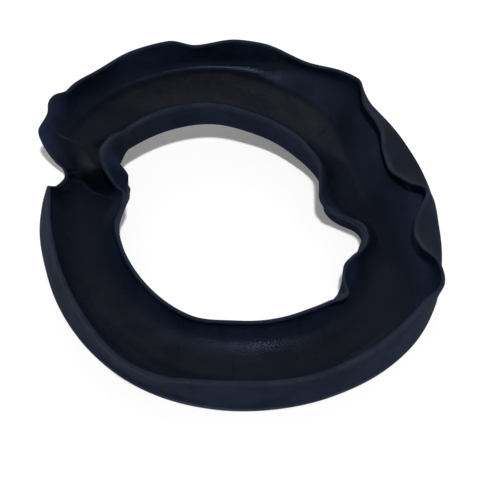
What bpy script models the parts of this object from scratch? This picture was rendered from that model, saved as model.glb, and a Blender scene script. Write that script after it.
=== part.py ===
"""Rubber insulator for the seat end of a coil spring.

One moulded ring: a channel of U section, one turn round, that the end coil of the spring lies in.
The floor climbs by one wire thickness over the turn and drops back at a step, which the cut end of
the wire butts against. A thin lip stands along each edge of the channel. The lips are buckled and
the ring has relaxed out of round, as on a used part.

Sizes are in metres. Angles are in degrees, anticlockwise from +X seen from above. The low end of the
channel starts just past the step, and the high end reaches it one turn later, at the angle plus 360.
"""

import math

import bmesh
import bpy
import numpy as np

MM = 0.001

# Base of the channel
BASE_RADIUS = 75.0 * MM
HOLE_RADIUS = 45.0 * MM
FLOOR_THICKNESS = 4.0 * MM
EDGE_CHAMFER = 0.8 * MM

# Climb of the channel over one turn, about one wire thickness
RISE = 12.5 * MM

# Lips, measured along the rubber from the floor to the rim
OUTER_LIP_LENGTH = 15.0 * MM
INNER_LIP_LENGTH = 9.5 * MM
LIP_ROOT_THICKNESS = 2.8 * MM
LIP_RIM_THICKNESS = 1.5 * MM
LIP_NOSE_SHARE = 0.45
LIP_CURL = 1.35
STEEPEST_FOLD = 0.95
LEAST_LIP = 0.5 * MM

# Slope from the flat floor up to the outer lip, and how far the two corners climb their lips
LEAST_SLOPE_WIDTH = 2.0 * MM
SLOPE_CLIMB = 0.5 * MM
SLOPE_CLIMB_SHARE = 1.15
SLOPE_HANDLE = 0.38
HIGHEST_SLOPE = 0.84
CORNER_HANDLE = 0.55
HIGHEST_CORNER = 0.62
LEAST_FLOOR_WIDTH = 2.0 * MM
SLOPE_SHARES = (0.0, 0.22, 0.42, 0.62, 0.82, 1.0)
CORNER_SHARES = (0.0, 0.33, 0.67, 1.0)
LIP_SHARES = (0.0, 0.34, 0.67, 1.0)

# Small mould line across the far floor
MOULD_LINE_ANGLE = 60.0
MOULD_LINE_INNER_RADIUS = 48.5 * MM
MOULD_LINE_OUTER_RADIUS = 60.0 * MM
MOULD_LINE_HEIGHT = 0.5 * MM
MOULD_LINE_WIDTH = 1.4 * MM

# Where the high end falls to the low end, as (angle of the top, angle of the foot)
FLOOR_STEP_OUTER = (159.5, 163.5)
FLOOR_STEP_INNER = (160.5, 167.5)
STEP_TURN = (6.0, 3.0)
STEP_TURN_SHARES = (0.22, 0.60)
HEEL_STEP_OUTER = (158.5, 163.0)
HEEL_STEP_INNER = (150.5, 157.5)
BASE_JOG = (159.0, 163.5)
HOLE_JOG = (154.8, 159.3)
FLOOR_JOG = (158.0, 166.0)
OUTER_RIM_JOG = (161.6, 164.4)
OUTER_RIM_FALL = (161.4, 163.5)
INNER_RIM_JOG = (165.5, 174.5)
INNER_RIM_FALL = (164.5, 172.0)

# Share of the rise that the channel has reached
CLIMB = (
    (335, 0.00), (350, 0.02), (370, 0.10), (390, 0.26), (410, 0.47),
    (430, 0.68), (450, 0.85), (465, 0.94), (480, 0.99), (492, 1.00),
)

# How far the outer edge of the base stands outside BASE_RADIUS, in millimetres
OUTER_SPREAD = (
    (164, -3.4), (167.3, -3.8), (169.2, -3.0), (171, -1.8), (172.5, -0.6), (174.5, 0.6), (178, 0.9),
    (183, 0.7), (200, -0.6), (212, -0.3), (245, 0.8), (268, -0.1), (284, -0.6), (300, -0.3), (316, 0.7),
    (330, 1.3), (341, 0.8), (357, -0.8), (370, -1.7), (390, -1.3), (402, -0.9), (425, -0.6), (445, -1.4),
    (465, -0.4), (480, 1.8), (495, 4.4), (510, 6.4),
)

# How far the edge of the hole stands outside HOLE_RADIUS, in millimetres
HOLE_SPREAD = (
    (159, 2.2), (165, 0.8), (172, 0.9), (181, 1.4), (190, 1.1), (200, 0.5), (220, 0.0), (250, 0.3),
    (272, -1.5), (300, -1.8), (320, -1.2), (335, -2.0), (345, -3.0), (355, -2.0), (362, -0.8), (365.6, -1.7),
    (368.8, -3.8), (371, -6.4), (374, -9.4), (379, -12.0), (384, -12.9), (389, -12.3), (396, -10.4),
    (404, -8.5), (412, -8.0), (422, -7.6), (438, -5.9), (452, -4.1), (470, -0.1), (487, 2.9), (504, 6.3),
    (510, 7.7), (514, 9.2), (517, 10.9), (520, 11.5),
)

# Crests and troughs of the outer lip, in millimetres outward (plus) or inward over the channel
OUTER_LEAN = (
    (165, 0.0), (171, 0.0), (175, -1.1), (178, -2.2), (184, -2.9), (195, -2.0), (212, -0.8), (220, 0.1),
    (229, 1.7), (243, 4.2), (251, 4.0), (262, 1.7), (274, 0.5), (288, 0.9), (303, 0.2), (312, -0.7),
    (321, -1.4), (333, -1.0), (336, 0.4), (340, 2.0), (347, -1.6), (352, -8.0), (359, -10.8), (364, -10.0),
    (373, -4.6), (378, -9.6), (389, -13.5), (395, -12.7), (401, -10.0), (411, -8.3), (418, -2.0),
    (424, -1.6), (435, -1.8), (450, -0.4), (457, -0.4), (470, -1.4), (478, 0.2), (488, 0.0), (501, -1.2),
    (512, -1.2), (514.5, 2.6), (516, 3.4), (517.4, 2.0), (519, 2.3), (521, 3.2), (524, 2.8),
)

# Crests and troughs of the inner lip, in millimetres away from the hole (plus) or over it
INNER_LEAN = (
    (175, -1.4), (179, -2.2), (193, 1.2), (230, 2.2), (250, 2.5), (268, 2.0), (300, 2.2), (314, 2.9),
    (322, 4.5), (324, 4.4), (326, 1.5), (329.5, -0.6), (335, -1.8), (341, -0.3), (345.5, 1.4), (350, 2.3),
    (354.5, 1.8), (358, 0.2), (361, -1.9), (363, -4.0), (365.5, -6.1), (368.5, -7.1), (371, -7.0),
    (375, -5.5), (380, -4.2), (387, -2.9), (397, -2.6), (404, -2.0), (412, -1.9), (421, -1.3), (440, -2.0),
    (460, -2.1), (477, -1.6), (493, -0.8), (508, -0.5), (514, -1.2), (520, -0.8), (524, 0.1), (528, 0.2),
)

# Share of the outer lip that stands, with the notch beside the step where it is missing
OUTER_LIP_KEPT = (
    (163, 0.0), (170, 0.0), (171.5, 0.1), (173, 0.26), (175, 0.5), (177, 0.7), (180, 0.9), (185, 1.0),
    (410, 1.0), (418, 0.92), (424, 0.79), (435, 0.58), (450, 0.77), (457, 0.79), (470, 0.67), (478, 0.81),
    (488, 0.81), (501, 0.78), (511, 0.91), (514, 0.80), (516, 0.58), (517.4, 0.46), (519, 0.26), (521, 0.04),
    (524, 0.0),
)

# Radius where the flat floor ends and the slope to the outer lip begins, in millimetres
CREASE_RADIUS = (
    (163, 63.5), (176, 64.5), (200, 65.2), (260, 66.0), (300, 65.6), (322, 65.0), (338, 62.5), (350, 57.5),
    (362, 52.0), (377, 49.5), (389, 50.0), (405, 52.5), (412, 55.0), (419, 59.2), (430, 61.3), (445, 63.8),
    (452, 66.2), (462, 68.3), (474, 69.6), (490, 71.8), (505, 73.8), (522, 75.0),
)

# Slope just past the crease, in degrees
CREASE_SLOPE = (
    (163, 8), (340, 8), (365, 18), (392, 24), (408, 34), (430, 36), (442, 22), (452, 10), (522, 8),
)

# Radius of the round corner between the floor and the inner lip, in millimetres
INNER_CORNER = (
    (163, 6.5), (185, 7.5), (215, 10.0), (241, 11.0), (262, 10.2), (285, 10.0), (310, 9.0),
    (330, 7.0), (350, 5.5), (365, 5.0), (440, 5.0), (480, 6.0), (522, 6.5),
)

# Angles of the sections that the ring is built from, as (from, to, step)
SECTION_ANGLES = (
    (0, 26, 1.3), (26, 58, 2.0), (58, 62, 0.5), (62, 70, 2.0), (70, 146, 3.0), (146, 158, 1.0),
    (158, 168, 0.5), (168, 182, 1.0), (182, 190, 2.0), (190, 318, 4.0), (318, 330, 1.5), (330, 360, 2.0),
)

RUBBER_COLOUR = (0.012, 0.013, 0.016, 1.0)
RUBBER_ROUGHNESS = 0.55


def ease(share):
    """Smooth change from 0 to 1 as the share goes from 0 to 1."""
    share = np.clip(share, 0.0, 1.0)
    return share * share * (3.0 - 2.0 * share)


def along(stations, turn):
    """Smooth curve through the stations that never overshoots them, flat beyond both ends."""
    x, y = np.array(stations, dtype=float).T
    step = np.diff(x)
    slope = np.diff(y) / step
    same_way = slope[:-1] * slope[1:] > 0
    total = np.where(same_way, slope[:-1] + slope[1:], 1.0)
    tangent = np.zeros_like(x)
    tangent[1:-1] = np.where(same_way, 2.0 * slope[:-1] * slope[1:] / total, 0.0)
    turn = np.clip(turn, x[0], x[-1])
    i = np.clip(np.searchsorted(x, turn, side="right") - 1, 0, len(x) - 2)
    t = (turn - x[i]) / step[i]
    value = y[i] * (1 + 2 * t) * (1 - t) ** 2 + y[i + 1] * t ** 2 * (3 - 2 * t)
    return value + step[i] * (tangent[i] * t * (1 - t) ** 2 - tangent[i + 1] * t ** 2 * (1 - t))


def around(stations, angle, window):
    """Value at an angle: the high end's up to the window, the low end's past it, blended inside."""
    low_share = ease((angle - window[0]) / (window[1] - window[0]))
    return (1.0 - low_share) * along(stations, angle + 360.0) + low_share * along(stations, angle)


def climb(angle, window):
    """Height gained by the channel, falling back to nothing across the window."""
    return RISE * around(((163, 0.0),) + CLIMB, angle, window)


def floor_height(angle, radius):
    """Height of the channel floor, whose step runs at a slant and turns along the inner lip."""
    inward = np.clip((BASE_RADIUS - radius) / (BASE_RADIUS - HOLE_RADIUS), 0.0, 1.0)
    turned = ease((inward - STEP_TURN_SHARES[0]) / (STEP_TURN_SHARES[1] - STEP_TURN_SHARES[0]))
    top = FLOOR_STEP_OUTER[0] + inward * (FLOOR_STEP_INNER[0] - FLOOR_STEP_OUTER[0]) + turned * STEP_TURN[0]
    foot = FLOOR_STEP_OUTER[1] + inward * (FLOOR_STEP_INNER[1] - FLOOR_STEP_OUTER[1]) + turned * STEP_TURN[1]
    return FLOOR_THICKNESS + climb(angle, (top, foot))


def mould_line(angle, radius):
    """Small raised bead across the floor."""
    aside = np.radians(angle - MOULD_LINE_ANGLE) * radius / (0.5 * MOULD_LINE_WIDTH)
    inside = (radius > MOULD_LINE_INNER_RADIUS) & (radius < MOULD_LINE_OUTER_RADIUS)
    return MOULD_LINE_HEIGHT * inside * ease(1.5 - np.abs(aside))


def lip(root_radius, root_height, lean, height, share, side):
    """Points on both faces of a lip, and its direction, at a share of its height.

    The lip leaves the base upright and bends over as share ** LIP_CURL. side is -1 for the outer lip,
    whose thickness lies toward the hole, and +1 for the inner one.
    """
    outside = (root_radius + lean * share ** LIP_CURL, root_height + height * share)
    run = lean * LIP_CURL * share ** (LIP_CURL - 1.0)
    length = np.hypot(run, height)
    direction = (run / length, height / length)
    thickness = LIP_ROOT_THICKNESS + (LIP_RIM_THICKNESS - LIP_ROOT_THICKNESS) * share
    inside = (outside[0] + side * direction[1] * thickness, outside[1] - side * direction[0] * thickness)
    return outside, inside, direction


def curve(start, leaves_to, arrives_from, end, shares):
    """Points at the shares of a cubic curve between two points."""
    return [tuple(start[k] * (1 - t) ** 3 + 3 * leaves_to[k] * t * (1 - t) ** 2
                  + 3 * arrives_from[k] * t ** 2 * (1 - t) + end[k] * t ** 3 for k in range(2))
            for t in shares]


def lip_points(root_radius, root_height, lean, height, side, corner_share):
    """Outside of a lip from its root to the rim, then its channel side halfway down to the corner."""
    outside = [lip(root_radius, root_height, lean, height, share, side)[0] for share in LIP_SHARES]
    rim_out, rim_in, direction = lip(root_radius, root_height, lean, height, 1.0, side)
    middle = [(a + b) / 2 for a, b in zip(rim_out, rim_in)]
    tip = tuple(middle[k] + direction[k] * LIP_RIM_THICKNESS * LIP_NOSE_SHARE for k in range(2))
    halfway = lip(root_radius, root_height, lean, height, (1.0 + corner_share) / 2, side)[1]
    return outside + [tip, rim_in, halfway]


def outer_slope(root_radius, root_height, lean, height, slope_share, crease, slope):
    """Channel side of the outer lip rounding into the slope, down to the crease of the floor."""
    top, direction = lip(root_radius, root_height, lean, height, slope_share, -1)[1:]
    reach = np.hypot(top[0] - crease[0], top[1] - crease[1]) * SLOPE_HANDLE
    below = tuple(top[k] - direction[k] * reach for k in range(2))
    toward = (crease[0] + reach * np.cos(slope), crease[1] + reach * np.sin(slope))
    return curve(top, below, toward, crease, SLOPE_SHARES)


def inner_corner(root_radius, root_height, lean, height, corner_share, foot):
    """Round corner from the channel side of the inner lip down to the floor."""
    top, direction = lip(root_radius, root_height, lean, height, corner_share, 1)[1:]
    reach = (foot[0] - root_radius - LIP_ROOT_THICKNESS) * CORNER_HANDLE
    below = tuple(top[k] - direction[k] * corner_share * height * CORNER_HANDLE for k in range(2))
    return curve(top, below, (foot[0] - reach, foot[1]), foot, CORNER_SHARES)


def section(angle):
    """Outline of the ring in the upright plane at each angle, as a loop of (radius, height) arrays."""
    outer_edge = BASE_RADIUS + around(OUTER_SPREAD, angle, BASE_JOG) * MM
    hole_edge = HOLE_RADIUS + around(HOLE_SPREAD, angle, HOLE_JOG) * MM
    outer_root = BASE_RADIUS + around(OUTER_SPREAD, angle, FLOOR_JOG) * MM
    inner_root = HOLE_RADIUS + around(HOLE_SPREAD, angle, FLOOR_JOG) * MM
    outer_rim = BASE_RADIUS + around(OUTER_SPREAD, angle, OUTER_RIM_JOG) * MM
    inner_rim = HOLE_RADIUS + around(HOLE_SPREAD, angle, INNER_RIM_JOG) * MM
    underside_out = climb(angle, HEEL_STEP_OUTER)
    underside_in = climb(angle, HEEL_STEP_INNER)

    def floor_at(radius):
        return floor_height(angle, radius) + mould_line(angle, radius)

    lean = around(OUTER_LEAN, angle, OUTER_RIM_JOG) * MM
    standing = np.sqrt(1.0 - np.clip(np.abs(lean) / OUTER_LIP_LENGTH, 0.0, STEEPEST_FOLD) ** 2)
    kept = around(OUTER_LIP_KEPT, angle, OUTER_RIM_JOG)
    root_height = floor_at(outer_root)
    rim_height = FLOOR_THICKNESS + climb(angle, OUTER_RIM_FALL) + OUTER_LIP_LENGTH * standing * kept
    shape = (outer_root, root_height, outer_rim + lean - outer_root,
             np.maximum(rim_height - root_height, LEAST_LIP))
    slope_foot = outer_root - LIP_ROOT_THICKNESS - LEAST_SLOPE_WIDTH
    crease_radius = np.minimum(around(CREASE_RADIUS, angle, FLOOR_JOG) * MM, slope_foot)
    slope_width = outer_root - LIP_ROOT_THICKNESS - crease_radius
    slope_share = np.minimum((SLOPE_CLIMB + SLOPE_CLIMB_SHARE * slope_width) / shape[3], HIGHEST_SLOPE)
    crease = (crease_radius, floor_at(crease_radius))
    slope = np.radians(around(CREASE_SLOPE, angle, FLOOR_JOG))
    outer = lip_points(*shape, -1, slope_share) + outer_slope(*shape, slope_share, crease, slope)

    lean = around(INNER_LEAN, angle, INNER_RIM_JOG) * MM
    standing = np.sqrt(1.0 - np.clip(np.abs(lean) / INNER_LIP_LENGTH, 0.0, STEEPEST_FOLD) ** 2)
    root_height = floor_at(inner_root)
    rim_height = FLOOR_THICKNESS + climb(angle, INNER_RIM_FALL) + INNER_LIP_LENGTH * standing
    shape = (inner_root, root_height, inner_rim + lean - inner_root,
             np.maximum(rim_height - root_height, LEAST_LIP))
    corner_width = around(INNER_CORNER, angle, FLOOR_JOG) * MM
    corner_share = np.minimum(corner_width / shape[3], HIGHEST_CORNER)
    foot_radius = inner_root + LIP_ROOT_THICKNESS + corner_width
    foot_radius = np.minimum(foot_radius, crease_radius - LEAST_FLOOR_WIDTH)
    foot = (foot_radius, floor_at(foot_radius))
    inner = lip_points(*shape, 1, corner_share) + inner_corner(*shape, corner_share, foot)

    floor = []
    for share in (0.33, 0.67):
        radius = crease_radius + (foot_radius - crease_radius) * share
        floor.append((radius, floor_at(radius)))
    foot_out = [(outer_edge - EDGE_CHAMFER, underside_out), (outer_edge, underside_out + EDGE_CHAMFER)]
    foot_in = [(hole_edge, underside_in + EDGE_CHAMFER), (hole_edge + EDGE_CHAMFER, underside_in)]
    return foot_out + outer + floor + inner[::-1] + foot_in


def section_angles():
    """Angles of the sections, closer together at the step, the mould line and the folds."""
    return np.concatenate([np.arange(start, stop, step) for start, stop, step in SECTION_ANGLES])


def ring_points():
    """Points of the ring as an array of sections by points by XYZ, centred on its own outline."""
    angle = section_angles()
    outline = section(angle)
    radius = np.stack([point[0] for point in outline], axis=1)
    height = np.stack([point[1] for point in outline], axis=1)
    turn = np.radians(angle)[:, None]
    points = np.stack([radius * np.cos(turn), radius * np.sin(turn), height], axis=2)
    middle = (points.min(axis=(0, 1)) + points.max(axis=(0, 1))) / 2
    points[..., 0] -= middle[0]
    points[..., 1] -= middle[1]
    return points


def rubber():
    """Black rubber, a little blue where it catches the light."""
    material = bpy.data.materials.new("black_rubber")
    material.use_nodes = True
    shader = material.node_tree.nodes["Principled BSDF"]
    shader.inputs["Base Color"].default_value = RUBBER_COLOUR
    shader.inputs["Roughness"].default_value = RUBBER_ROUGHNESS
    shader.inputs["Metallic"].default_value = 0.0
    return material


def build_ring():
    """Loft the sections into one closed ring."""
    points = ring_points()
    sections, around_section = points.shape[:2]
    mesh_maker = bmesh.new()
    verts = [[mesh_maker.verts.new(point) for point in ring] for ring in points]
    for i in range(sections):
        here, there = verts[i], verts[(i + 1) % sections]
        for j in range(around_section):
            k = (j + 1) % around_section
            mesh_maker.faces.new((here[j], there[j], there[k], here[k]))
    bmesh.ops.recalc_face_normals(mesh_maker, faces=mesh_maker.faces)
    mesh = bpy.data.meshes.new("spring_insulator")
    mesh_maker.to_mesh(mesh)
    mesh_maker.free()
    mesh.shade_smooth()
    mesh.set_sharp_from_angle(angle=math.radians(35))
    mesh.materials.append(rubber())
    ring = bpy.data.objects.new("spring_insulator", mesh)
    bpy.context.scene.collection.objects.link(ring)
    return ring


def main():
    for old in list(bpy.data.objects):
        bpy.data.objects.remove(old)
    build_ring()


main()
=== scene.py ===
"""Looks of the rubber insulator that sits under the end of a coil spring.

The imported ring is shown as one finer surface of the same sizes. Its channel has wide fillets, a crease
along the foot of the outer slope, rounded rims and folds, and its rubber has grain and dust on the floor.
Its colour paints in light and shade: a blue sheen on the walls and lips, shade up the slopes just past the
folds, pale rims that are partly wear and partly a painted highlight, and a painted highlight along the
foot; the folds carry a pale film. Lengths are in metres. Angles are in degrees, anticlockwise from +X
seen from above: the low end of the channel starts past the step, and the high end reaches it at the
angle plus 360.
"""

import math

import bpy
import numpy as np
from mathutils import Matrix, Vector


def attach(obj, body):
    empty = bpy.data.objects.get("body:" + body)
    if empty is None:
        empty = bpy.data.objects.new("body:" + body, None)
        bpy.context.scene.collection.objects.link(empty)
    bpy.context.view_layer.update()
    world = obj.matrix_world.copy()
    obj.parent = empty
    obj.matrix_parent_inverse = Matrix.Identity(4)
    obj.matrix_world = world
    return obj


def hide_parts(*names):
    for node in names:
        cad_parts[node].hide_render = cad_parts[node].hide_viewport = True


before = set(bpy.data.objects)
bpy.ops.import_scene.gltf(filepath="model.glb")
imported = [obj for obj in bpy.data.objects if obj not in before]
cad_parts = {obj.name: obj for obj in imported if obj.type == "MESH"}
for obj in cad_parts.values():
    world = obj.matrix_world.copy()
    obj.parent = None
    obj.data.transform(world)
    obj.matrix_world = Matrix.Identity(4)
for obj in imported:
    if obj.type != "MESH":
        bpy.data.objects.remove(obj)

bl_info = {
    "name": "Coil spring insulator",
    "version": (1, 0, 0),
    "blender": (4, 5, 0),
    "location": "3D View > Sidebar > Insulator",
    "description": "Builds a rubber coil spring insulator with its rubber and its stage",
    "category": "Add Mesh",
}

MM = 0.001
CAD_NODE = "spring_insulator"

# Where the high end falls to the low end, as (angle of the top, angle of the foot)
FLOOR_STEP_OUTER = (159.5, 163.5)
FLOOR_STEP_INNER = (160.5, 167.5)
HEEL_STEP_OUTER = (158.5, 163.0)
HEEL_STEP_INNER = (150.5, 157.5)
BASE_JOG = (159.0, 163.5)
HOLE_JOG = (154.8, 159.3)
FLOOR_JOG = (158.0, 166.0)
OUTER_RIM_JOG = (161.6, 164.4)
OUTER_RIM_FALL = (161.4, 163.5)
INNER_RIM_JOG = (165.5, 174.5)
INNER_RIM_FALL = (164.5, 172.0)

# Further turn of the floor's step toward the inner lip, at its top and at its foot, and the shares of
# the way from the outer edge to the hole over which it turns
STEP_TURN = (6.0, 3.0)
STEP_TURN_SHARES = (0.22, 0.60)

# Share of the rise that the channel has reached
CLIMB = (
    (163, 0.00), (335, 0.00), (350, 0.02), (370, 0.10), (390, 0.26), (410, 0.47),
    (430, 0.68), (450, 0.85), (465, 0.94), (480, 0.99), (492, 1.00),
)

# How far the outer edge of the base stands outside its plain radius, in millimetres
OUTER_SPREAD = (
    (164, -3.4), (167.3, -3.8), (169.2, -3.0), (171, -1.8), (172.5, -0.6), (174.5, 0.6), (178, 0.9),
    (183, 0.7), (200, -0.6), (212, -0.3), (245, 0.8), (268, -0.1), (284, -0.6), (300, -0.3), (316, 0.7),
    (330, 1.3), (341, 0.8), (357, -0.8), (370, -1.7), (390, -1.3), (402, -0.9), (425, -0.6), (445, -1.4),
    (465, -0.4), (480, 1.8), (495, 4.4), (510, 6.4),
)

# How far the edge of the hole stands outside its plain radius, in millimetres
HOLE_SPREAD = (
    (159, 2.2), (165, 0.8), (172, 0.9), (181, 1.4), (190, 1.1), (200, 0.5), (220, 0.0), (250, 0.3),
    (272, -1.5), (300, -1.8), (320, -1.2), (335, -2.0), (345, -3.0), (355, -2.0), (362, -0.8), (365.6, -1.7),
    (368.8, -3.8), (371, -6.4), (374, -9.4), (379, -12.0), (384, -12.9), (389, -12.3), (396, -10.4),
    (404, -8.5), (412, -8.0), (422, -7.6), (438, -5.9), (452, -4.1), (470, -0.1), (487, 2.9), (504, 6.3),
    (510, 7.7), (514, 9.2), (517, 10.9), (520, 11.5),
)

# Crests and troughs of the outer lip, in millimetres outward (plus) or inward over the channel
OUTER_LEAN = (
    (165, 0.0), (171, 0.0), (175, -1.1), (178, -2.2), (184, -2.9), (195, -2.0), (212, -0.8), (220, 0.1),
    (229, 1.7), (243, 4.2), (251, 4.0), (262, 1.7), (274, 0.5), (288, 0.9), (303, 0.2), (312, -0.7),
    (321, -1.4), (333, -1.0), (336, 0.4), (340, 2.0), (347, -1.6), (352, -8.0), (359, -10.8), (364, -10.0),
    (373, -4.6), (378, -9.6), (389, -13.5), (395, -12.7), (401, -10.0), (411, -8.3), (418, -2.0),
    (424, -1.6), (435, -1.8), (450, -0.4), (457, -0.4), (470, -1.4), (478, 0.2), (488, 0.0), (501, -1.2),
    (512, -1.2), (514.5, 2.6), (516, 3.4), (517.4, 2.0), (519, 2.3), (521, 3.2), (524, 2.8),
)

# Crests and troughs of the inner lip, in millimetres away from the hole (plus) or over it
INNER_LEAN = (
    (175, -1.4), (179, -2.2), (193, 1.2), (230, 2.2), (250, 2.5), (268, 2.0), (300, 2.2), (314, 2.9),
    (322, 4.5), (324, 4.4), (326, 1.5), (329.5, -0.6), (335, -1.8), (341, -0.3), (345.5, 1.4), (350, 2.3),
    (354.5, 1.8), (358, 0.2), (361, -1.9), (363, -4.0), (365.5, -6.1), (368.5, -7.1), (371, -7.0),
    (375, -5.5), (380, -4.2), (387, -2.9), (397, -2.6), (404, -2.0), (412, -1.9), (421, -1.3), (440, -2.0),
    (460, -2.1), (477, -1.6), (493, -0.8), (508, -0.5), (514, -1.2), (520, -0.8), (524, 0.1), (528, 0.2),
)

# Share of the outer lip that stands, with the notch beside the step where it is missing
OUTER_LIP_KEPT = (
    (163, 0.0), (170, 0.0), (171.5, 0.1), (173, 0.26), (175, 0.5), (177, 0.7), (180, 0.9), (185, 1.0),
    (410, 1.0), (418, 0.92), (424, 0.79), (435, 0.58), (450, 0.77), (457, 0.79), (470, 0.67), (478, 0.81),
    (488, 0.81), (501, 0.78), (511, 0.91), (514, 0.80), (516, 0.58), (517.4, 0.46), (519, 0.26), (521, 0.04),
    (524, 0.0),
)

# Power of the outer lip's curl: the higher it is, the nearer to the rim the lip bends over
OUTER_CURL = ((163, 1.35), (345, 1.35), (412, 1.5), (435, 2.3), (505, 2.3), (522, 1.6))

# Bend of the lips: the power of the inner lip's curl, their steepest fold and the least height left of one
LIP_CURL = 1.35
STEEPEST_FOLD = 0.95
LEAST_LIP = 0.5 * MM

# Radius where the flat floor ends and the outer slope begins, in millimetres
CREASE_RADIUS = (
    (163, 63.5), (176, 64.5), (200, 65.2), (260, 66.0), (300, 65.6), (322, 65.0), (338, 62.5), (350, 57.5),
    (362, 52.0), (377, 49.5), (389, 50.0), (405, 52.5), (412, 55.0), (419, 59.2), (430, 61.3), (445, 63.8),
    (452, 66.2), (462, 68.3), (474, 69.6), (490, 71.8), (505, 73.8), (522, 75.0),
)

# Slope just past the crease, in degrees
CREASE_SLOPE = (
    (163, 8), (340, 8), (365, 18), (392, 24), (408, 34), (430, 36), (442, 22), (452, 10), (522, 8),
)

# The slope from the crease to the outer lip: its handles as a share of its length, how high on the lip
# it ends, which grows with its width, the lowest and highest such end as shares of the lip, and its
# least width
CORNER_HANDLE = 0.38
CORNER_CLIMB = 0.5 * MM
CORNER_CLIMB_SHARE = 1.15
LOWEST_CORNER = 0.5
HIGHEST_CORNER = 0.84
LEAST_SLOPE_WIDTH = 2.0 * MM

# Radius of the round corner between the floor and the inner lip, in millimetres
INNER_CORNER = (
    (163, 6.5), (185, 7.5), (215, 10.0), (241, 11.0), (262, 10.2), (285, 10.0), (310, 9.0),
    (330, 7.0), (350, 5.5), (365, 5.0), (440, 5.0), (480, 6.0), (522, 6.5),
)

# The inner corner: its handles as a share of its reach, and the least width of floor beside it
INNER_CORNER_HANDLE = 0.55
LEAST_FLOOR_WIDTH = 2.0 * MM

# Small mould line across the far floor
MOULD_LINE_ANGLE = 60.0
MOULD_LINE_RADII = (48.5 * MM, 58.7 * MM)
MOULD_LINE_HEIGHT = 0.45 * MM
MOULD_LINE_WIDTH = 1.4 * MM

# Thin bead along the outer foot: how far it stands out, its height and the height over which it fades
FOOT_BEAD = 0.35 * MM
FOOT_BEAD_HEIGHT = 1.1 * MM
FOOT_BEAD_FADE = 0.6 * MM

# Angles between sections, as (from, to, step), finer at the mould line, the step and the folds
SECTION_ANGLES = (
    (0, 57, 0.6), (57, 63, 0.3), (63, 148, 0.7), (148, 156, 0.4), (156, 176, 0.2), (176, 190, 0.4),
    (190, 315, 0.8), (315, 360, 0.5),
)

# Points along each stretch of a section
FOOT_POINTS = 5
OUTER_WALL_POINTS = 14
WALL_POINTS = 6
LIP_POINTS = 12
NOSE_POINTS = 7
CHANNEL_SIDE_POINTS = 9
OUTER_CORNER_POINTS = 20
FLOOR_POINTS = 18
INNER_CORNER_POINTS = 12
UNDERSIDE_POINTS = 5

# Turns, in degrees, and weights over which a curve round the ring is evened out
EVENING = ((-0.7, 0.25), (0.0, 0.5), (0.7, 0.25))

# How many times the points across the channel are evened out
CREASE_EVENING_PASSES = 6

# How thick the film of dust lies on the floor, as a share
DUST_ON_FLOOR = (
    (163, 0.05), (190, 0.08), (215, 0.30), (245, 0.48), (285, 0.42), (330, 0.20), (360, 0.28), (382, 0.55),
    (395, 0.90), (410, 1.00), (430, 0.90), (455, 0.95), (480, 0.70), (500, 0.45), (522, 0.25),
)

# Width beside the inner lip that is wiped clean of dust, in millimetres
WIPED_BESIDE_LIP = ((163, 3.0), (330, 3.0), (350, 7.0), (375, 11.0), (398, 9.0), (414, 4.0), (522, 3.0))

# Width over which the dust thins out toward the crease and toward the band wiped clean
CLEAN_BESIDE_CREASE = 3.5 * MM

# Pale film on the outside of the folds that lean over the channel: its cover, the lean at which it
# begins and the further lean at which it is full, both in millimetres, and the height over which it fades in
PALE_FILM_ON_FOLDS = 0.9
FOLD_LEAN = 5.0
FOLD_LEAN_SPAN = 4.0
FOLD_FILM_FADE = 4.0 * MM

# Height over which the floor's dark colour fades out above it, in millimetres; where it is 15, just past
# the folds, the dark colour up the slope is painted shade under the leaning outer lip
FLOOR_AND_SHADE_REACH = ((163, 6.0), (385, 6.0), (402, 15.0), (438, 15.0), (455, 7.0), (522, 6.0))

# Height above the floor, in millimetres, at which the floor's own colour begins to fade
LEVEL_CLEARANCE = 0.3

# How far the channel's roughness goes from that of the walls to its own, where it is 1
CHANNEL_POLISH = (
    (163, 0.80), (215, 0.78), (250, 0.72), (262, 0.76), (278, 1.00), (294, 1.12), (306, 0.95), (318, 0.70),
    (345, 0.70), (360, 0.80), (378, 0.84), (392, 0.62), (438, 0.60), (448, 1.10), (455, 1.32), (466, 1.32),
    (478, 1.05), (500, 0.88), (522, 0.78),
)

# Reach of the pale mark round a rim, which is wear and a painted highlight, and of the painted highlight
# round the bead at the outer foot
RIM_WEAR_AND_HIGHLIGHT_REACH = 1.2 * MM
FOOT_HIGHLIGHT_REACH = 0.7 * MM

# Noises of the rubber, as (scale, detail, roughness), with a distortion where there are four
GRAIN_NOISE = (1500.0, 3.0, 0.6)
SWELL_NOISE = (110.0, 2.0, 0.5)
FLECK_NOISE = (1300.0, 0.0, 0.5)
PATCH_NOISE = (55.0, 5.0, 0.62, 0.6)
SPECK_NOISE = (900.0, 2.0, 0.7)
MOTTLE_NOISE = (45.0, 5.0, 0.65)
BREAKUP_NOISE = (140.0, 4.0, 0.7)

# Spans over which a noise becomes a mask, as (low, high), with the mask's two values where there are four
GLINT_SPAN = (0.66, 0.80)
FLECK_SPAN = (0.84, 0.90, 0.0, 0.5)
PATCH_SPAN = (0.30, 0.70, 0.35, 1.15)
SPECK_SPAN = (0.3, 0.7, 0.75, 1.2)
MOTTLE_SPAN = (0.3, 0.7, 0.62, 1.38)
# The rims' span breaks up their wear and painted highlight, and the foot's span its painted highlight
RIM_WEAR_AND_HIGHLIGHT_SPAN = (0.35, 0.65, 0.4, 1.0)
FOOT_HIGHLIGHT_SPAN = (0.35, 0.60, 0.3, 1.0)
ROUGHNESS_SPAN = (0.3, 0.7, -0.04, 0.05)

# Relief of the rubber: weights of the fine grain and of the slow swell, strength and depth
GRAIN_WEIGHT = 0.5
SWELL_WEIGHT = 0.9
RELIEF_STRENGTH = 0.9
RELIEF_DEPTH = 0.3 * MM

# How much rougher full dust makes the rubber, and how much smoother a glinting grain is
DUST_ROUGHENING = 0.18
GLINT_SMOOTHING = 0.12

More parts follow.
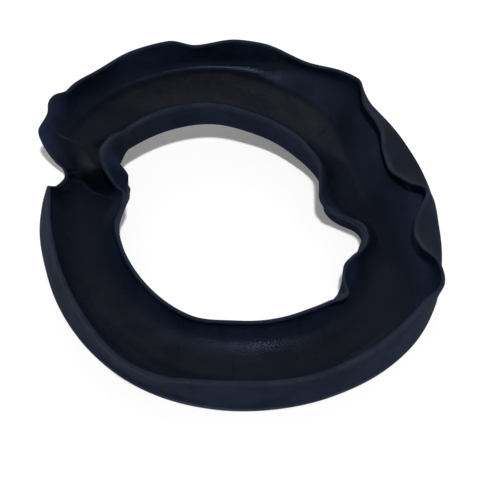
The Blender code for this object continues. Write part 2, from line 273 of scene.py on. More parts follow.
# Table, lamps, whose sizes are in degrees, and camera
WHITE = (1.0, 1.0, 1.0, 1.0)
TABLE_HALF = 6.0
TABLE_ROUGHNESS = 0.9
LAMP_DISTANCE = 2.0
KEY_SIZE = 5.0
LOW_SIZE = 14.0
SENSOR_WIDTH = 36.0
CAMERA_LENS = 140.4
CAMERA_SHIFT = (-0.0079, -0.0046)
CAMERA_TARGET = (0.0031285, 0.0007909, 0.0)
CAMERA_CLIP_END = 20.0


def ease(share):
    """Smooth change from 0 to 1: three times the share squared minus twice its cube."""
    share = np.clip(share, 0.0, 1.0)
    return share * share * (3.0 - 2.0 * share)


def along(stations, turn):
    """Cubic through the stations that never overshoots them.

    Its slope at a station is the harmonic mean of those on both sides, or level at a crest or trough.
    """
    x, y = np.array(stations, dtype=float).T
    step = np.diff(x)
    slope = np.diff(y) / step
    same_way = slope[:-1] * slope[1:] > 0
    total = np.where(same_way, slope[:-1] + slope[1:], 1.0)
    tangent = np.zeros_like(x)
    tangent[1:-1] = np.where(same_way, 2.0 * slope[:-1] * slope[1:] / total, 0.0)
    turn = np.clip(turn, x[0], x[-1])
    i = np.clip(np.searchsorted(x, turn, side="right") - 1, 0, len(x) - 2)
    t = (turn - x[i]) / step[i]
    value = y[i] * (1 + 2 * t) * (1 - t) ** 2 + y[i + 1] * t ** 2 * (3 - 2 * t)
    return value + step[i] * (tangent[i] * t * (1 - t) ** 2 - tangent[i + 1] * t ** 2 * (1 - t))


def around(stations, angle, window):
    """Value at an angle: the high end's up to the window, the low end's past it, blended inside."""
    low_share = ease((angle - window[0]) / (window[1] - window[0]))
    return (1.0 - low_share) * along(stations, angle + 360.0) + low_share * along(stations, angle)


def evenly(stations, angle, window):
    """Weighted mean of the curve at the angle and a little to both sides, which softens its kinks."""
    return sum(weight * around(stations, angle + aside, window) for aside, weight in EVENING)


def between(start, end, count, ends=(True, True)):
    """Row of shares from start to end, with or without its first and last one."""
    row = np.linspace(start, end, count)
    return row[(0 if ends[0] else 1):(count if ends[1] else count - 1)][None, :]


def bend(a, b, c, d, t):
    """Cubic curve from a to d that leaves toward b and arrives from c, at shares t."""
    parts = ((a, (1 - t) ** 3), (b, 3 * t * (1 - t) ** 2), (c, 3 * t ** 2 * (1 - t)), (d, t ** 3))
    return tuple(sum(point[k] * weight for point, weight in parts) for k in range(2))


class RingSection:
    """Outline of the ring in the upright plane at each angle, worked out as whole arrays.

    Rows are angles and columns are points, in one loop: outer foot, outer wall, outer lip, its round
    nose, its channel side, the slope down to the crease, the floor, the inner corner, the inner lip,
    the wall of the hole, its foot and the underside.
    """

    def __init__(self, size, angle):
        self.size = size
        self.angle = angle[:, None]
        stretches = self.outer_side() + self.floor_and_inner_side()
        self.radius, self.height = (
            np.hstack([np.broadcast_to(part[k], (len(angle), part[k].shape[1])) for part in stretches])
            for k in range(2)
        )

    def climbed(self, window):
        """Rise times the share of it reached at the angle."""
        return self.size.rise * evenly(CLIMB, self.angle, window)

    def floor_at(self, radius):
        """Floor thickness plus the climb, whose step runs at a slant, plus the mould line's bead."""
        size = self.size
        inward = np.clip((size.base_radius - radius) / (size.base_radius - size.hole_radius), 0.0, 1.0)
        top = FLOOR_STEP_OUTER[0] + inward * (FLOOR_STEP_INNER[0] - FLOOR_STEP_OUTER[0])
        foot = FLOOR_STEP_OUTER[1] + inward * (FLOOR_STEP_INNER[1] - FLOOR_STEP_OUTER[1])
        turned = ease((inward - STEP_TURN_SHARES[0]) / (STEP_TURN_SHARES[1] - STEP_TURN_SHARES[0]))
        top = top + STEP_TURN[0] * turned
        foot = foot + STEP_TURN[1] * turned
        aside = np.radians(self.angle - MOULD_LINE_ANGLE) * radius / (0.5 * MOULD_LINE_WIDTH)
        fade = ease((radius - MOULD_LINE_RADII[0]) / MM) * ease((MOULD_LINE_RADII[1] - radius) / MM)
        bead = MOULD_LINE_HEIGHT * fade * ease(1.5 - np.abs(aside))
        return size.floor_thickness + self.climbed((top, foot)) + bead

    def lip(self, root, height, lean, share, side, curl=LIP_CURL):
        """Outer face, channel face and direction of a lip at shares of its height.

        The outer face leans by the share to the power of the curl, and the channel face lies across
        its direction by a thickness that tapers to the rim. side is -1 for the outer lip and +1 for
        the inner one.
        """
        size = self.size
        run = lean * curl * np.maximum(share, 1e-6) ** (curl - 1.0)
        length = np.hypot(run, height)
        direction = (run / length, height / length)
        outer = (root[0] + lean * share ** curl, root[1] + height * share)
        thickness = size.lip_root_thickness + (size.lip_rim_thickness - size.lip_root_thickness) * share
        inner = (outer[0] + side * direction[1] * thickness, outer[1] - side * direction[0] * thickness)
        return outer, inner, direction

    def nose(self, root, height, lean, side, curl=LIP_CURL):
        """Half circle over the rim from the outer face to the channel face."""
        outer, inner, direction = self.lip(root, height, lean, np.ones((1, 1)), side, curl)
        middle = [(a + b) / 2 for a, b in zip(outer, inner)]
        half = np.hypot(outer[0] - inner[0], outer[1] - inner[1]) / 2
        away = [(a - b) / 2 for a, b in zip(outer, inner)]
        turn = np.radians(180.0) * between(0.0, 1.0, NOSE_POINTS, (False, False))
        over, up = np.cos(turn), half * np.sin(turn)
        return tuple(middle[k] + away[k] * over + direction[k] * up for k in range(2))

    def rim(self, length, lean, window):
        """Height of the floor under a rim, and how much of the lip's length stands up at its lean."""
        standing = np.sqrt(1.0 - np.clip(np.abs(lean) / length, 0.0, STEEPEST_FOLD) ** 2)
        return self.size.floor_thickness + self.climbed(window), length * standing

    def outer_side(self):
        """Foot, wall, lip and slope of the outer side, from the underside to the crease."""
        size = self.size
        angle = self.angle
        edge = size.base_radius + evenly(OUTER_SPREAD, angle, BASE_JOG) * MM
        root_radius = size.base_radius + evenly(OUTER_SPREAD, angle, FLOOR_JOG) * MM
        rim_radius = size.base_radius + evenly(OUTER_SPREAD, angle, OUTER_RIM_JOG) * MM
        under = self.climbed(HEEL_STEP_OUTER)
        lean = evenly(OUTER_LEAN, angle, OUTER_RIM_JOG) * MM
        base, standing = self.rim(size.outer_lip_length, lean, OUTER_RIM_FALL)
        kept = evenly(OUTER_LIP_KEPT, angle, OUTER_RIM_JOG)
        root = (root_radius, self.floor_at(root_radius))
        height = np.maximum(base + standing * kept - root[1], LEAST_LIP)
        shift = rim_radius + lean - root_radius
        self.outer_tip = (rim_radius + lean, root[1] + height)
        self.outer_lean = lean
        self.outer_root = root[1]

        corner = np.radians(90.0) * between(0.0, 1.0, FOOT_POINTS)
        rounding = size.edge_round
        beaded = edge + FOOT_BEAD
        foot = (beaded - rounding * (1 - np.sin(corner)), under + rounding * (1 - np.cos(corner)))
        t = between(0.0, 1.0, OUTER_WALL_POINTS, (False, False)) ** 2
        lift = rounding + (root[1] - under - rounding) * t
        bead = FOOT_BEAD * (1.0 - ease((lift - FOOT_BEAD_HEIGHT) / FOOT_BEAD_FADE))
        wall = (edge + (root[0] - edge) * t + bead, under + lift)
        self.foot = (beaded, under + FOOT_BEAD_HEIGHT)
        curl = evenly(OUTER_CURL, angle, OUTER_RIM_JOG)
        outside = self.lip(root, height, shift, between(0.0, 1.0, LIP_POINTS), -1, curl)[0]
        nose = self.nose(root, height, shift, -1, curl)

        crease_radius = evenly(CREASE_RADIUS, angle, FLOOR_JOG) * MM
        crease_radius = np.minimum(crease_radius, root_radius - size.lip_root_thickness - LEAST_SLOPE_WIDTH)
        width = root_radius - size.lip_root_thickness - crease_radius
        share = np.clip((CORNER_CLIMB + CORNER_CLIMB_SHARE * width) / height, LOWEST_CORNER, HIGHEST_CORNER)
        self.crease = (crease_radius, self.floor_at(crease_radius))
        side_shares = 1.0 + (share - 1.0) * between(0.0, 1.0, CHANNEL_SIDE_POINTS, (True, False))
        side = self.lip(root, height, shift, side_shares, -1, curl)[1]
        top, direction = self.lip(root, height, shift, share, -1, curl)[1:]
        reach = np.hypot(top[0] - crease_radius, top[1] - self.crease[1]) * CORNER_HANDLE
        slope = np.radians(around(CREASE_SLOPE, angle, FLOOR_JOG))
        toward = (crease_radius + reach * np.cos(slope), self.crease[1] + reach * np.sin(slope))
        below = tuple(top[k] - direction[k] * reach for k in range(2))
        rise = bend(top, below, toward, self.crease, between(0.0, 1.0, OUTER_CORNER_POINTS, (True, False)))
        return [foot, wall, outside, nose, side, rise]

    def floor_and_inner_side(self):
        """Floor, inner corner, inner lip, wall of the hole, its foot and the underside."""
        size = self.size
        angle = self.angle
        edge = size.hole_radius + evenly(HOLE_SPREAD, angle, HOLE_JOG) * MM
        root_radius = size.hole_radius + evenly(HOLE_SPREAD, angle, FLOOR_JOG) * MM
        rim_radius = size.hole_radius + evenly(HOLE_SPREAD, angle, INNER_RIM_JOG) * MM
        under = self.climbed(HEEL_STEP_INNER)
        lean = evenly(INNER_LEAN, angle, INNER_RIM_JOG) * MM
        base, standing = self.rim(size.inner_lip_length, lean, INNER_RIM_FALL)
        root = (root_radius, self.floor_at(root_radius))
        height = np.maximum(base + standing - root[1], LEAST_LIP)
        shift = rim_radius + lean - root_radius
        self.inner_tip = (rim_radius + lean, root[1] + height)
        self.inner_wall = root_radius + size.lip_root_thickness

        round_radius = evenly(INNER_CORNER, angle, FLOOR_JOG) * MM
        wall_radius = self.inner_wall
        corner_radius = np.minimum(wall_radius + round_radius, self.crease[0] - LEAST_FLOOR_WIDTH)
        corner = (corner_radius, self.floor_at(corner_radius))
        t = between(0.0, 1.0, FLOOR_POINTS, (True, False))
        floor_radius = self.crease[0] + (corner[0] - self.crease[0]) * t
        floor = (floor_radius, self.floor_at(floor_radius))
        share = np.minimum(round_radius / height, HIGHEST_CORNER)
        top, direction = self.lip(root, height, shift, share, 1)[1:]
        reach = (corner_radius - wall_radius) * INNER_CORNER_HANDLE
        toward = (corner[0] - reach, corner[1])
        drop = share * height * INNER_CORNER_HANDLE
        below = tuple(top[k] - direction[k] * drop for k in range(2))
        rise = bend(corner, toward, below, top, between(0.0, 1.0, INNER_CORNER_POINTS, (True, False)))
        side_shares = share + (1.0 - share) * between(0.0, 1.0, CHANNEL_SIDE_POINTS)
        side = self.lip(root, height, shift, side_shares, 1)[1]
        nose = tuple(part[:, ::-1] for part in self.nose(root, height, shift, 1))
        outside = self.lip(root, height, shift, between(1.0, 0.0, LIP_POINTS), 1)[0]

        rounding = size.edge_round
        t = between(0.0, 1.0, WALL_POINTS, (False, False))
        wall = (root[0] + (edge - root[0]) * t, root[1] + (under + rounding - root[1]) * t)
        turn = np.radians(90.0) * between(0.0, 1.0, FOOT_POINTS)
        foot = (edge + rounding * (1 - np.cos(turn)), under + rounding * (1 - np.sin(turn)))
        far_edge = size.base_radius + evenly(OUTER_SPREAD, angle, BASE_JOG) * MM - rounding
        far_under = self.climbed(HEEL_STEP_OUTER)
        t = between(0.0, 1.0, UNDERSIDE_POINTS, (False, False))
        inner_foot = edge + rounding
        underside = (inner_foot + (far_edge - inner_foot) * t, under + (far_under - under) * t)
        return [floor, rise, side, nose, outside, wall, foot, underside]


def channel_columns():
    """First and last column of the slope, floor and inner corner in the outline's loop."""
    first = FOOT_POINTS + OUTER_WALL_POINTS - 2 + LIP_POINTS + NOSE_POINTS - 2 + CHANNEL_SIDE_POINTS - 1
    last = first + OUTER_CORNER_POINTS - 1 + FLOOR_POINTS - 1 + INNER_CORNER_POINTS - 1
    return first, last


def evened_across(grid):
    """Weighted means of neighbouring columns in the channel, which turn the crease into a short bend."""
    first, last = channel_columns()
    grid = grid.copy()
    for _ in range(CREASE_EVENING_PASSES):
        middle = grid[:, first + 1:last]
        grid[:, first + 1:last] = (grid[:, first:last - 1] + 2.0 * middle + grid[:, first + 2:last + 1]) / 4.0
    return grid


def wear_and_painted_light_masks(section, radius, height):
    """Masks of the surface's points for its material.

    The first mask tells the floor, whose colour carries no painted sheen, from the walls, and climbs the
    slopes as painted shade where its reach is high; the second is the cover of dust on the floor and of a
    pale film on the folds; the fourth, a pale mark at a rim that is wear and a painted highlight, and the
    fifth, a painted highlight at the foot, fall off as a bell with the distance from a rim or from the bead
    at the foot.
    """
    def at(stations):
        return around(stations, section.angle, FLOOR_JOG)

    first, last = channel_columns()
    column = np.arange(radius.shape[1])[None, :]
    in_channel = (column >= first) & (column <= last)
    above = (height - section.floor_at(radius)) / MM
    # The floor's dark colour: on the floor, and up the slopes just past the folds as painted shade
    floor_and_shade = in_channel * (1.0 - ease((above - LEVEL_CLEARANCE) / at(FLOOR_AND_SHADE_REACH)))
    spread = ease((section.crease[0] - radius) / CLEAN_BESIDE_CREASE)
    spread = spread * ease((radius - section.inner_wall - at(WIPED_BESIDE_LIP) * MM) / CLEAN_BESIDE_CREASE)
    dust = floor_and_shade * spread * at(DUST_ON_FLOOR)
    outside = (column > FOOT_POINTS) & (column < first - CHANNEL_SIDE_POINTS)
    # Pale film on the outside of folds that lean far over the channel, fading in above their root
    fold_film = ease((-section.outer_lean / MM - FOLD_LEAN) / FOLD_LEAN_SPAN)
    fold_film = fold_film * ease((height - section.outer_root) / FOLD_FILM_FADE)
    side = (column >= first - CHANNEL_SIDE_POINTS) & (column <= last + CHANNEL_SIDE_POINTS)

    def bell(place, reach):
        away = np.hypot(radius - place[0], height - place[1]) / reach
        return np.exp(-away * away)

    # Pale rims, which are wear and a painted highlight, and a painted highlight along the bead at the foot
    rims = [bell(tip, RIM_WEAR_AND_HIGHLIGHT_REACH) for tip in (section.outer_tip, section.inner_tip)]
    return {
        "floor_and_slope_shade": floor_and_shade,
        "dust_and_fold_film": np.maximum(dust, PALE_FILM_ON_FOLDS * outside * fold_film),
        "channel_polish": side * at(CHANNEL_POLISH),
        "rim_wear_and_highlight": np.maximum(*rims),
        "painted_foot_highlight": bell(section.foot, FOOT_HIGHLIGHT_REACH),
    }


def ring_surface(size):
    """Points of the ring at each angle and place in the section, centred on its outline, and its masks.

    X is the radius times the cosine of the angle and Y the radius times its sine.
    """
    angle = np.concatenate([np.arange(start, stop, step) for start, stop, step in SECTION_ANGLES])
    section = RingSection(size, angle)
    radius = evened_across(section.radius)
    height = evened_across(section.height)
    turn = np.radians(angle)[:, None]
    points = np.stack([radius * np.cos(turn), radius * np.sin(turn), height], axis=2)
    middle = (points.min(axis=(0, 1)) + points.max(axis=(0, 1))) / 2
    points[..., 0] -= middle[0]
    points[..., 1] -= middle[1]
    return points, wear_and_painted_light_masks(section, radius, height)


def mesh_from_grid(name, points, masks):
    """Closed mesh of a grid that wraps both ways, with its masks as point attributes."""
    rows, columns = points.shape[:2]
    here = np.arange(rows * columns).reshape(rows, columns)
    beside = np.roll(here, -1, axis=1)
    after = np.roll(here, -1, axis=0)
    across = np.roll(after, -1, axis=1)
    faces = np.stack([here, after, across, beside], axis=2).reshape(-1, 4)
    mesh = bpy.data.meshes.new(name)
    mesh.from_pydata(points.reshape(-1, 3), [], faces)
    for mask, values in masks.items():
        attribute = mesh.attributes.new(mask, "FLOAT", "POINT")
        attribute.data.foreach_set("value", values.astype(np.float32).ravel())
    mesh.shade_smooth()
    mesh.update()
    return mesh


def new_group(name, inputs, outputs):
    """Empty shader node group with named inputs and outputs, each given as (name, socket type, default)."""
    tree = bpy.data.node_groups.new(name, "ShaderNodeTree")
    for label, kind, default in inputs:
        socket = tree.interface.new_socket(label, in_out="INPUT", socket_type=kind)
        if default is not None:
            socket.default_value = default
    for label, kind in outputs:
        tree.interface.new_socket(label, in_out="OUTPUT", socket_type=kind)
    return tree, tree.nodes.new("NodeGroupInput"), tree.nodes.new("NodeGroupOutput")


class Wiring:
    """Short calls for the nodes of one tree."""

    def __init__(self, tree):
        self.tree = tree

    def put(self, socket, value):
        """Link the value if it is a socket, or set it as the socket's own number or colour."""
        if isinstance(value, bpy.types.NodeSocket):
            self.tree.links.new(value, socket)
        else:
            socket.default_value = value

    def math(self, operation, a, b=0.0):
        """Sum, product or the like of two values."""
        node = self.tree.nodes.new("ShaderNodeMath")
        node.operation = operation
        self.put(node.inputs[0], a)
        self.put(node.inputs[1], b)
        return node.outputs[0]

    def noise(self, vector, scale, detail, roughness, distortion=0.0):
        """Noise at a place, from 0 to 1."""
        node = self.tree.nodes.new("ShaderNodeTexNoise")
        self.put(node.inputs["Vector"], vector)
        self.put(node.inputs["Scale"], scale)
        self.put(node.inputs["Detail"], detail)
        self.put(node.inputs["Roughness"], roughness)
        self.put(node.inputs["Distortion"], distortion)
        return node.outputs["Fac"]

    def span(self, value, low, high, out_low=0.0, out_high=1.0):
        """Smooth change from one value to another as the first goes from low to high."""
        node = self.tree.nodes.new("ShaderNodeMapRange")
        node.interpolation_type = "SMOOTHSTEP"
        self.put(node.inputs["Value"], value)
        self.put(node.inputs["From Min"], low)
        self.put(node.inputs["From Max"], high)
        self.put(node.inputs["To Min"], out_low)
        self.put(node.inputs["To Max"], out_high)
        return node.outputs["Result"]

    def mix(self, factor, a, b, blend="MIX"):
        """Colour between two others."""
        node = self.tree.nodes.new("ShaderNodeMix")
        node.data_type = "RGBA"
        node.blend_type = blend
        self.put(node.inputs["Factor"], factor)
        self.put(node.inputs["A"], a)
        self.put(node.inputs["B"], b)
        return node.outputs["Result"]

    def seen_plainly(self):
        """One for rays from the camera and for those that a reflection or glass sends on, else zero."""
        path = self.tree.nodes.new("ShaderNodeLightPath")
        direct = self.math("MAXIMUM", path.outputs["Is Camera Ray"], path.outputs["Is Glossy Ray"])
        return self.math("MAXIMUM", direct, path.outputs["Is Transmission Ray"])

    def mask(self, name):
        """One of the masks that the mesh carries."""
        node = self.tree.nodes.new("ShaderNodeAttribute")
        node.attribute_name = name
        return node.outputs["Fac"]


def opaque(colour):
    """Colour of three numbers with full cover as its fourth."""
    return tuple(colour) + (1.0,)


def moulded_grain():
    """Group: pores and grain of moulded rubber as a height, the grains that glint and sparse pale flecks."""
    tree, start, end = new_group(
        "Moulded grain",
        [("Vector", "NodeSocketVector", None), ("Grain Scale", "NodeSocketFloat", GRAIN_NOISE[0]),
         ("Swell Scale", "NodeSocketFloat", SWELL_NOISE[0])],
        [("Height", "NodeSocketFloat"), ("Glint", "NodeSocketFloat"), ("Flecks", "NodeSocketFloat")],
    )
    wire = Wiring(tree)
    place = start.outputs["Vector"]
    fine = wire.noise(place, start.outputs["Grain Scale"], *GRAIN_NOISE[1:])
    swell = wire.noise(place, start.outputs["Swell Scale"], *SWELL_NOISE[1:])
    flecks = wire.noise(place, *FLECK_NOISE)
    fine_height = wire.math("MULTIPLY", fine, GRAIN_WEIGHT)
    height = wire.math("ADD", fine_height, wire.math("MULTIPLY", swell, SWELL_WEIGHT))
    tree.links.new(height, end.inputs["Height"])
    tree.links.new(wire.span(fine, *GLINT_SPAN), end.inputs["Glint"])
    tree.links.new(wire.span(flecks, *FLECK_SPAN), end.inputs["Flecks"])
    return tree


def dust_sheen_and_shade():
    """Group: rubber colour with painted sheen and painted shade, mottled and covered by a broken pale film,
    with the cover as a mask.
    """
    tree, start, end = new_group(
        "Dust, painted sheen and painted shade",
        [("Vector", "NodeSocketVector", None), ("Rubber", "NodeSocketColor", None),
         ("Floor", "NodeSocketColor", None), ("Level", "NodeSocketFloat", 0.0),
         ("Dust", "NodeSocketColor", None), ("Film", "NodeSocketFloat", 0.0),
         ("Patch Scale", "NodeSocketFloat", PATCH_NOISE[0])],
        [("Color", "NodeSocketColor"), ("Cover", "NodeSocketFloat")],
    )
    wire = Wiring(tree)
    place = start.outputs["Vector"]
    patches = wire.span(wire.noise(place, start.outputs["Patch Scale"], *PATCH_NOISE[1:]), *PATCH_SPAN)
    specks = wire.span(wire.noise(place, *SPECK_NOISE), *SPECK_SPAN)
    cover = wire.math("MULTIPLY", start.outputs["Film"], wire.math("MULTIPLY", patches, specks))
    shade = wire.span(wire.noise(place, *MOTTLE_NOISE), *MOTTLE_SPAN)
    grey = tree.nodes.new("ShaderNodeCombineColor")
    for channel in ("Red", "Green", "Blue"):
        wire.put(grey.inputs[channel], shade)
    # The rubber's colour carries a painted blue sheen; the floor's dark colour stands on the floor, and up
    # the slopes just past the folds as painted shade
    plain = wire.mix(start.outputs["Level"], start.outputs["Rubber"], start.outputs["Floor"])
    mottled = wire.mix(1.0, plain, grey.outputs["Color"], "MULTIPLY")
    tree.links.new(wire.mix(cover, mottled, start.outputs["Dust"]), end.inputs["Color"])
    tree.links.new(cover, end.inputs["Cover"])
    return tree


def group_node(tree, group, values):
    """Group placed in a tree with its input values."""
    node = tree.nodes.new("ShaderNodeGroup")
    node.node_tree = group
    wire = Wiring(tree)
    for label, value in values.items():
        wire.put(node.inputs[label], value)
    return node


def rubber_material(finish):
    """Navy-black moulded rubber: mottled colour with a painted blue sheen on the walls and painted shade up
    the slopes past the folds, dust on the floor, a pale film on the folds, pale rims of wear and painted
    highlight, a painted highlight along the foot, grain and slow swell.
    """
    material = bpy.data.materials.new("moulded_rubber")
    material.use_nodes = True
    tree = material.node_tree
    wire = Wiring(tree)
    shader = tree.nodes["Principled BSDF"]
    place = tree.nodes.new("ShaderNodeTexCoord").outputs["Object"]
    grain = group_node(tree, moulded_grain(), {"Vector": place})
    # The group's colour carries a painted blue sheen on the walls and painted shade up the slopes past the
    # folds
    dust = group_node(tree, dust_sheen_and_shade(), {
        "Vector": place,
        "Rubber": opaque(finish.rubber_and_sheen_colour),
        "Floor": opaque(finish.floor_and_shade_colour),
        "Level": wire.mask("floor_and_slope_shade"),
        "Dust": opaque(finish.dust_colour),
        "Film": wire.mask("dust_and_fold_film"),
    })
    breakup = wire.noise(place, *BREAKUP_NOISE)
    # Pale rims: partly wear and partly a painted highlight
    wear_and_rim_light = wire.math("MULTIPLY", wire.mask("rim_wear_and_highlight"), wire.span(breakup, *RIM_WEAR_AND_HIGHLIGHT_SPAN))
    color = wire.mix(wear_and_rim_light, dust.outputs["Color"], opaque(finish.wear_and_rim_light_colour))
    # Painted highlight along the foot, together with the pale flecks
    foot_highlight = wire.math("MULTIPLY", wire.mask("painted_foot_highlight"), wire.span(breakup, *FOOT_HIGHLIGHT_SPAN))
    flecks_and_foot_highlight = wire.math("MAXIMUM", foot_highlight, grain.outputs["Flecks"])
    color = wire.mix(flecks_and_foot_highlight, color, opaque(finish.fleck_and_foot_highlight_colour))
    tree.links.new(color, shader.inputs["Base Color"])
    smoothing = wire.math("MULTIPLY", wire.mask("channel_polish"), finish.wall_roughness - finish.roughness)
    rough = wire.math("SUBTRACT", finish.wall_roughness, smoothing)
    rough = wire.math("ADD", rough, wire.span(breakup, *ROUGHNESS_SPAN))
    rough = wire.math("ADD", rough, wire.math("MULTIPLY", dust.outputs["Cover"], DUST_ROUGHENING))
    rough = wire.math("SUBTRACT", rough, wire.math("MULTIPLY", grain.outputs["Glint"], GLINT_SMOOTHING))
    tree.links.new(rough, shader.inputs["Roughness"])
    shader.inputs["Metallic"].default_value = 0.0
    shader.inputs["Specular IOR Level"].default_value = finish.specular
    shader.inputs["Specular Tint"].default_value = opaque(finish.specular_tint)
    bump = tree.nodes.new("ShaderNodeBump")
    bump.inputs["Strength"].default_value = RELIEF_STRENGTH
    bump.inputs["Distance"].default_value = RELIEF_DEPTH
    tree.links.new(grain.outputs["Height"], bump.inputs["Height"])
    tree.links.new(bump.outputs["Normal"], shader.inputs["Normal"])
    return material


def table_material(stage):
    """White table: it takes shadows, and for the camera a small glow of its own carries it to white."""
    material = bpy.data.materials.new("white_table")
    material.use_nodes = True
    tree = material.node_tree
    shader = tree.nodes["Principled BSDF"]
    shader.inputs["Base Color"].default_value = opaque(stage.table_colour)
    shader.inputs["Roughness"].default_value = TABLE_ROUGHNESS
    shader.inputs["Specular IOR Level"].default_value = 0.0
    shader.inputs["Emission Color"].default_value = WHITE
    wire = Wiring(tree)
    glow = wire.math("MULTIPLY", wire.seen_plainly(), stage.table_glow)
    tree.links.new(glow, shader.inputs["Emission Strength"])
    return material


def metres(name, description, default):
    """Property that holds a length in metres."""
    return bpy.props.FloatProperty(
        name=name, description=description, default=default, subtype="DISTANCE", unit="LENGTH")


def degrees(name, description, default):
    """Property that holds an angle, given here in degrees."""
    return bpy.props.FloatProperty(
        name=name, description=description, default=math.radians(default), subtype="ANGLE", unit="ROTATION")


def tint(name, description, default):
    """Property that holds a colour."""
    return bpy.props.FloatVectorProperty(
        name=name, description=description, default=default, size=3, min=0.0, max=1.0, subtype="COLOR")


def portion(name, description, default):
    """Property that holds a share from 0 to 1."""
    return bpy.props.FloatProperty(
        name=name, description=description, default=default, min=0.0, max=1.0, subtype="FACTOR")


def brightness(name, description, default):
    """Property that holds the strength of a light."""
    return bpy.props.FloatProperty(name=name, description=description, default=default, min=0.0)


class InsulatorSizes(bpy.types.PropertyGroup):
    """Sizes of the ring that its maker would change."""

    base_radius: metres("Base Radius", "Plain outer radius of the base", 75.0 * MM)
    hole_radius: metres("Hole Radius", "Plain radius of the hole", 45.0 * MM)
    floor_thickness: metres("Floor Thickness", "Rubber under the channel", 4.0 * MM)
    rise: metres("Rise", "Climb of the channel over one turn", 12.5 * MM)
    outer_lip_length: metres("Outer Lip", "Length of the outer lip from the floor to its rim", 15.0 * MM)
    inner_lip_length: metres("Inner Lip", "Length of the inner lip from the floor to its rim", 9.5 * MM)
    lip_root_thickness: metres("Lip Root", "Thickness of a lip at its root", 2.8 * MM)
    lip_rim_thickness: metres("Lip Rim", "Thickness of a lip at its rim", 1.5 * MM)
    edge_round: metres("Edge Round", "Radius of the two bottom edges", 0.8 * MM)


class InsulatorFinish(bpy.types.PropertyGroup):
    """Colours and gloss of the rubber."""

    # Colour of the rubber, which carries a painted blue sheen on the walls and lips
    rubber_and_sheen_colour: tint("Rubber", "Colour of clean rubber, with a painted blue sheen", (0.0086, 0.0131, 0.0285))
    # The floor's dark colour, which is also painted shade up the slopes just past the folds
    floor_and_shade_colour: tint("Floor", "Colour of dull rubber on the floor, and painted shade on the slopes past the folds", (0.0028, 0.0036, 0.0062))
    dust_colour: tint("Dust", "Colour of the film on the floor", (0.0140, 0.0153, 0.0178))
    # Pale rims: partly wear and partly a painted highlight
    wear_and_rim_light_colour: tint("Rim Wear And Highlight", "Colour of pale rims, of wear and a painted highlight", (0.028, 0.034, 0.047))
    # Colour of the flecks and of a painted highlight along the foot
    fleck_and_foot_highlight_colour: tint("Fleck And Foot Highlight", "Colour of flecks and of a painted highlight along the foot", (0.040, 0.046, 0.062))
    specular_tint: tint("Sheen Tint", "Tint of the rubber's reflections", (0.42, 0.56, 1.0))
    roughness: portion("Roughness", "Roughness of the channel where its polish is 1", 0.25)
    wall_roughness: portion("Wall Roughness", "Roughness of the walls, where there is no polish", 0.85)
    specular: portion("Specular", "Strength of the rubber's reflections", 0.07)


class InsulatorStage(bpy.types.PropertyGroup):
    """Table, light and camera."""

    table_colour: tint("Table", "Colour of the table", (0.93, 0.93, 0.93))
    table_glow: brightness("Table Glow", "Light that the table adds for the camera", 0.18)
    key_strength: brightness("Key", "Strength of the lamp overhead", 2.45)
    key_height: degrees("Key Height", "Angle of the lamp above the table", 75.0)
    key_aside: degrees("Key Aside", "Turn of the lamp overhead to the right", 6.0)
    low_strength: brightness("Low", "Strength of the low lamp behind", 0.45)
    low_height: degrees("Low Height", "Angle of the low lamp above the table", 23.0)
    low_aside: degrees("Low Aside", "Turn of the low lamp to the left", 8.0)
    world_strength: brightness("Room", "Strength of the light from all round", 0.17)
    camera_height: degrees("Camera Height", "Angle of the camera above the table", 54.9)
    camera_roll: degrees("Camera Roll", "Turn of the camera about its own view", 5.4)
    camera_distance: metres("Camera Distance", "Distance from the camera to its target", 0.700)


class INSULATOR_OT_ring(bpy.types.Operator):
    """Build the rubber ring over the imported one"""

    bl_idname = "insulator.ring"
    bl_label = "Ring"

    def execute(self, context):
        points, masks = ring_surface(context.scene.insulator_sizes)
        ring = bpy.data.objects.new("rubber_ring", mesh_from_grid("rubber_ring", points, masks))
        context.scene.collection.objects.link(ring)
        ring.data.materials.append(rubber_material(context.scene.insulator_finish))
        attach(ring, "root")
        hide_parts(CAD_NODE)
        return {"FINISHED"}


def look_from(height, distance, target, roll=0.0, aside=0.0):
    """Matrix of a camera or lamp that looks at the target, from the near side or over the top of it.

    height is its angle above the table, which is past 90 degrees on the far side, roll its turn about
    its own view, and aside its turn round the target, anticlockwise seen from above.
    """
    right = Vector((1.0, 0.0, 0.0))
    up = Vector((0.0, math.sin(height), math.cos(height)))
    back = Vector((0.0, -math.cos(height), math.sin(height)))
    turned_right = right * math.cos(roll) + up * math.sin(roll)
    turned_up = up * math.cos(roll) - right * math.sin(roll)
    columns = Matrix((turned_right, turned_up, back)).transposed()
    swung = Matrix.Rotation(aside, 4, "Z")
    return Matrix.Translation(target) @ swung @ Matrix.Translation(back * distance) @ columns.to_4x4()


def placed(scene, name, data, place):
    """Object of a lamp's or camera's data, at a matrix."""
    holder = bpy.data.objects.new(name, data)
    holder.matrix_world = place
    scene.collection.objects.link(holder)
    return holder


def add_table(scene, stage):
    """Level white table under the ring."""
    mesh = bpy.data.meshes.new("table")
    corners = [(x * TABLE_HALF, y * TABLE_HALF, 0.0) for x, y in ((-1, -1), (1, -1), (1, 1), (-1, 1))]
    mesh.from_pydata(corners, [], [(0, 1, 2, 3)])
    mesh.materials.append(table_material(stage))
    table = bpy.data.objects.new("table", mesh)
    scene.collection.objects.link(table)


def add_sun(scene, name, energy, size, place):
    """Sun lamp of a strength and of a size in degrees, at a matrix."""
    lamp = bpy.data.lights.new(name, "SUN")
    lamp.energy = energy
    lamp.angle = math.radians(size)
    placed(scene, name, lamp, place)


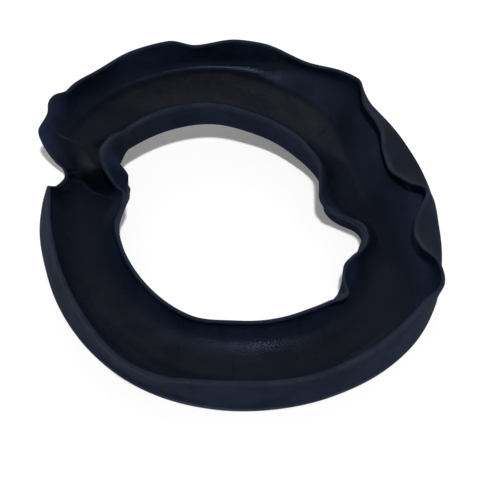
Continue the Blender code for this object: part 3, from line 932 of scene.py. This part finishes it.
def add_room(scene, stage):
    """Even light from all round, which the camera sees as white."""
    world = bpy.data.worlds.new("room")
    world.use_nodes = True
    background = world.node_tree.nodes["Background"]
    background.inputs["Color"].default_value = WHITE
    wire = Wiring(world.node_tree)
    whiter = wire.math("MULTIPLY", wire.seen_plainly(), 1.0 - stage.world_strength)
    wire.put(background.inputs["Strength"], wire.math("ADD", whiter, stage.world_strength))
    scene.world = world


def add_camera(scene, stage):
    """Camera in the place that the photograph was taken from."""
    camera = bpy.data.cameras.new("camera")
    camera.sensor_width = SENSOR_WIDTH
    camera.lens = CAMERA_LENS
    camera.shift_x, camera.shift_y = CAMERA_SHIFT
    camera.clip_end = CAMERA_CLIP_END
    place = look_from(stage.camera_height, stage.camera_distance, CAMERA_TARGET, roll=stage.camera_roll)
    scene.camera = placed(scene, "camera", camera, place)


class INSULATOR_OT_stage(bpy.types.Operator):
    """Set the table, the lamps, the room light and the camera"""

    bl_idname = "insulator.stage"
    bl_label = "Stage"

    def execute(self, context):
        scene = context.scene
        stage = scene.insulator_stage
        middle = (0.0, 0.0, 0.0)
        behind = math.radians(180.0) - stage.low_height
        add_table(scene, stage)
        add_sun(scene, "key", stage.key_strength, KEY_SIZE,
                look_from(stage.key_height, LAMP_DISTANCE, middle, aside=stage.key_aside))
        add_sun(scene, "low", stage.low_strength, LOW_SIZE,
                look_from(behind, LAMP_DISTANCE, middle, aside=stage.low_aside))
        add_room(scene, stage)
        add_camera(scene, stage)
        scene.view_settings.view_transform = "Standard"
        return {"FINISHED"}


class INSULATOR_PT_panel(bpy.types.Panel):
    """Sizes, finish and stage of the insulator"""

    bl_label = "Coil spring insulator"
    bl_idname = "INSULATOR_PT_panel"
    bl_space_type = "VIEW_3D"
    bl_region_type = "UI"
    bl_category = "Insulator"

    def draw(self, context):
        scene = context.scene
        for settings in (scene.insulator_sizes, scene.insulator_finish, scene.insulator_stage):
            box = self.layout.box()
            for name in settings.__annotations__:
                box.prop(settings, name)
        self.layout.operator(INSULATOR_OT_ring.bl_idname)
        self.layout.operator(INSULATOR_OT_stage.bl_idname)


CLASSES = (
    InsulatorSizes, InsulatorFinish, InsulatorStage,
    INSULATOR_OT_ring, INSULATOR_OT_stage, INSULATOR_PT_panel,
)


def register():
    for item in CLASSES:
        bpy.utils.register_class(item)
    bpy.types.Scene.insulator_sizes = bpy.props.PointerProperty(type=InsulatorSizes)
    bpy.types.Scene.insulator_finish = bpy.props.PointerProperty(type=InsulatorFinish)
    bpy.types.Scene.insulator_stage = bpy.props.PointerProperty(type=InsulatorStage)


def unregister():
    del bpy.types.Scene.insulator_stage
    del bpy.types.Scene.insulator_finish
    del bpy.types.Scene.insulator_sizes
    for item in reversed(CLASSES):
        bpy.utils.unregister_class(item)


def main():
    """Build the ring and its stage."""
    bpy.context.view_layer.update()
    register()
    bpy.ops.insulator.ring()
    bpy.ops.insulator.stage()


if __name__ == "__main__":
    main()
